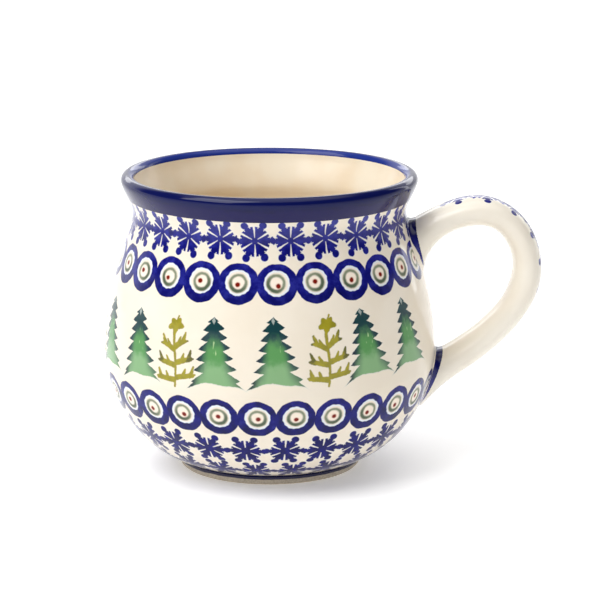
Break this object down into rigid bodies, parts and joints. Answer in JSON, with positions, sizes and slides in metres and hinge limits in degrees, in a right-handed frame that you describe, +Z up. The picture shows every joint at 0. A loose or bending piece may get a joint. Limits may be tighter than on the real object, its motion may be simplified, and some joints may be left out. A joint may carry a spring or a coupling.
{
  "type": "stoneware mug",
  "caption": "Round-bellied stoneware mug with a flared cobalt lip, stamped underglaze bands, a clear glaze, a bare foot ring and one loop handle.",
  "frame": {"origin": "on the pot's axis, in the plane of the foot ring's resting face", "axes": "+Z up along the pot's axis; +X from the axis towards the handle; +Y completes a right-handed frame, so the handle's plane is XZ"},
  "size_m": [0.1328, 0.1008, 0.09],
  "materials": {
    "clay": "matte",
    "bare_clay": "matte",
    "painted_slip": "gloss",
    "stamped_glaze": "gloss",
    "cobalt_glaze": "gloss",
    "cream_glaze": "gloss",
    "handle_glaze": "gloss"
  },
  "bodies": {
    "root": {"pot_body": "clay", "foot_ring": "bare_clay", "handle_loop": "clay", "upper_slip_joint": "painted_slip", "lower_slip_joint": "painted_slip", "outer_glaze": "stamped_glaze", "rim_band_glaze": "cobalt_glaze", "liner_glaze": "cream_glaze", "base_glaze": "cream_glaze", "handle_glaze": "handle_glaze"}
  },
  "joints": []
}
